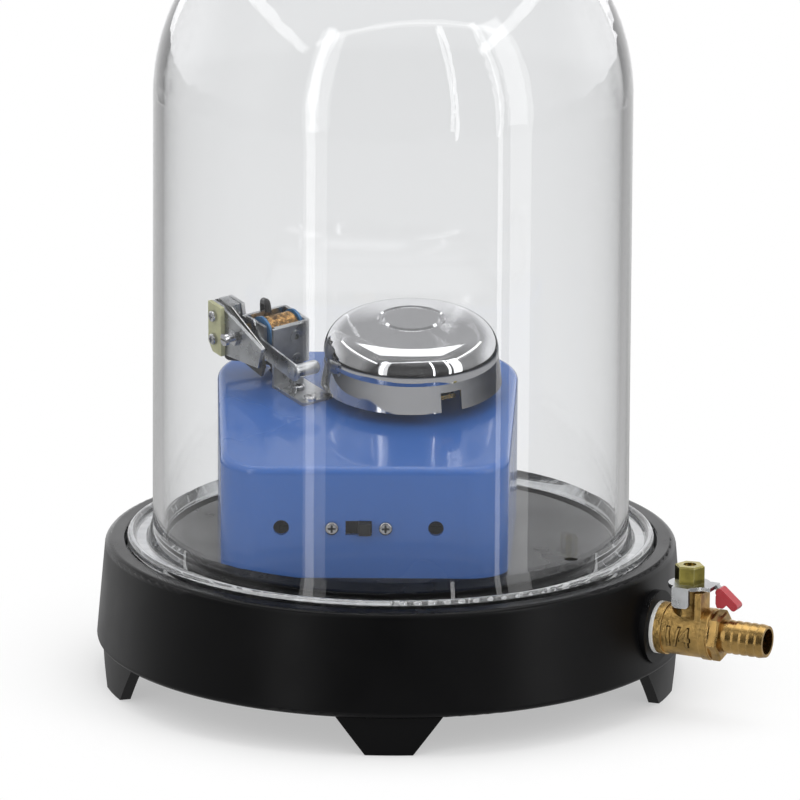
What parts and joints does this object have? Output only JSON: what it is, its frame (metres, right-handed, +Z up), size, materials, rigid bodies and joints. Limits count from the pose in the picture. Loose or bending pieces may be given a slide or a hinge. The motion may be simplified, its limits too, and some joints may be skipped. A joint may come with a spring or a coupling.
{
  "type": "vacuum chamber",
  "caption": "Bell-jar vacuum chamber: clear domed jar on a black footed base with a ball valve and hose barb, holding an electric bell on a blue battery box.",
  "frame": {"origin": "centre of the round base, on the plane its feet stand on", "axes": "+Z up along the jar; -Y towards the switch side of the battery box; the valve leaves towards +X, 26 degrees round towards -Y"},
  "size_m": [0.2578, 0.2264, 0.308],
  "materials": {
    "base_plastic": "glossy moulded black plastic",
    "seal_rubber": "milky silicone rubber sheet",
    "clear_plastic": "clear moulded plastic, glossy, slightly streaked",
    "white_plastic": "white fluoroplastic",
    "cast_brass": "cast and blasted brass, grainy",
    "turned_brass": "turned brass with fine lathe rings",
    "plated_steel": "bright nickel plate",
    "zinc_steel": "zinc-plated pressed steel",
    "spring_steel": "bright rolled spring strip",
    "yellow_zinc": "yellow passivated zinc plate",
    "red_vinyl": "dipped red vinyl, semi-gloss",
    "blue_plastic": "glossy blue moulded plastic",
    "black_plastic": "matt black plastic",
    "gong_chrome": "bright chrome plate with slight spinning lines",
    "cell_jacket": "dark printed cell jacket",
    "bobbin_blue": "blue translucent bobbin plastic",
    "copper_wire": "enamelled copper wire",
    "olive_fibre": "olive vulcanised fibre",
    "black_sleeve": "black insulating sleeve",
    "lead_insulation": "thin plastic lead insulation"
  },
  "bodies": {
    "chamber": {"barb_washer": "turned_brass", "base": "base_plastic", "battery_box": "blue_plastic", "battery_cells": "cell_jacket", "battery_tray": "black_plastic", "bell_jar": "clear_plastic", "box_floor": "black_plastic", "bracket_screws": "plated_steel", "cell_contacts": "plated_steel", "coil_bobbin": "bobbin_blue", "coil_core": "zinc_steel", "coil_lead": "lead_insulation", "coil_winding": "copper_wire", "contact_lead": "lead_insulation", "contact_leaf": "spring_steel", "contact_nut": "plated_steel", "contact_plate": "zinc_steel", "contact_screw": "plated_steel", "core_screw": "plated_steel", "fibre_plate": "olive_fibre", "floor_screws": "zinc_steel", "foot_bracket": "zinc_steel", "gong": "gong_chrome", "gong_bridge": "turned_brass", "gong_nut": "turned_brass", "gong_pillar": "turned_brass", "hose_barb": "turned_brass", "insulating_sheet": "black_plastic", "lead_sleeve": "black_sleeve", "leaf_spring": "spring_steel", "pile_nuts": "turned_brass", "pile_screws": "plated_steel", "pile_spacer": "zinc_steel", "seal_ring": "seal_rubber", "stem_gland": "turned_brass", "stem_seal": "white_plastic", "switch_body": "black_plastic", "switch_frame": "zinc_steel", "switch_screws": "plated_steel", "valve_body": "cast_brass", "valve_seats": "white_plastic", "valve_washer": "white_plastic", "yoke": "zinc_steel", "yoke_rivets": "zinc_steel"},
    "valve_handle": {"valve_ball": "plated_steel", "valve_stem": "turned_brass", "valve_lever": "zinc_steel", "lever_sleeve": "red_vinyl", "lever_nut": "yellow_zinc"},
    "switch_slider": {"switch_knob": "black_plastic"},
    "hammer": {"hammer_arm": "zinc_steel", "armature_pad": "zinc_steel", "spring_rivets": "turned_brass", "hammer_head": "zinc_steel"}
  },
  "joints": [
    {"name": "valve_turn", "type": "hinge", "parent": "chamber", "child": "valve_handle", "pos_m": [0.11298, -0.0551, 0.0325], "axis": [0, 0, -1], "range_deg": [0, 90]},
    {"name": "switch_slide", "type": "slide", "parent": "chamber", "child": "switch_slider", "axis": [-1, 0, 0], "range_m": [0, 0.0046]},
    {"name": "hammer_swing", "type": "hinge", "parent": "chamber", "child": "hammer", "pos_m": [-0.05784, 0.02541, 0.12891], "axis": [0, -0.1564, 0.9877], "range_deg": [0, 1.7], "stiffness_Nm_per_rad": 0.4}
  ]
}
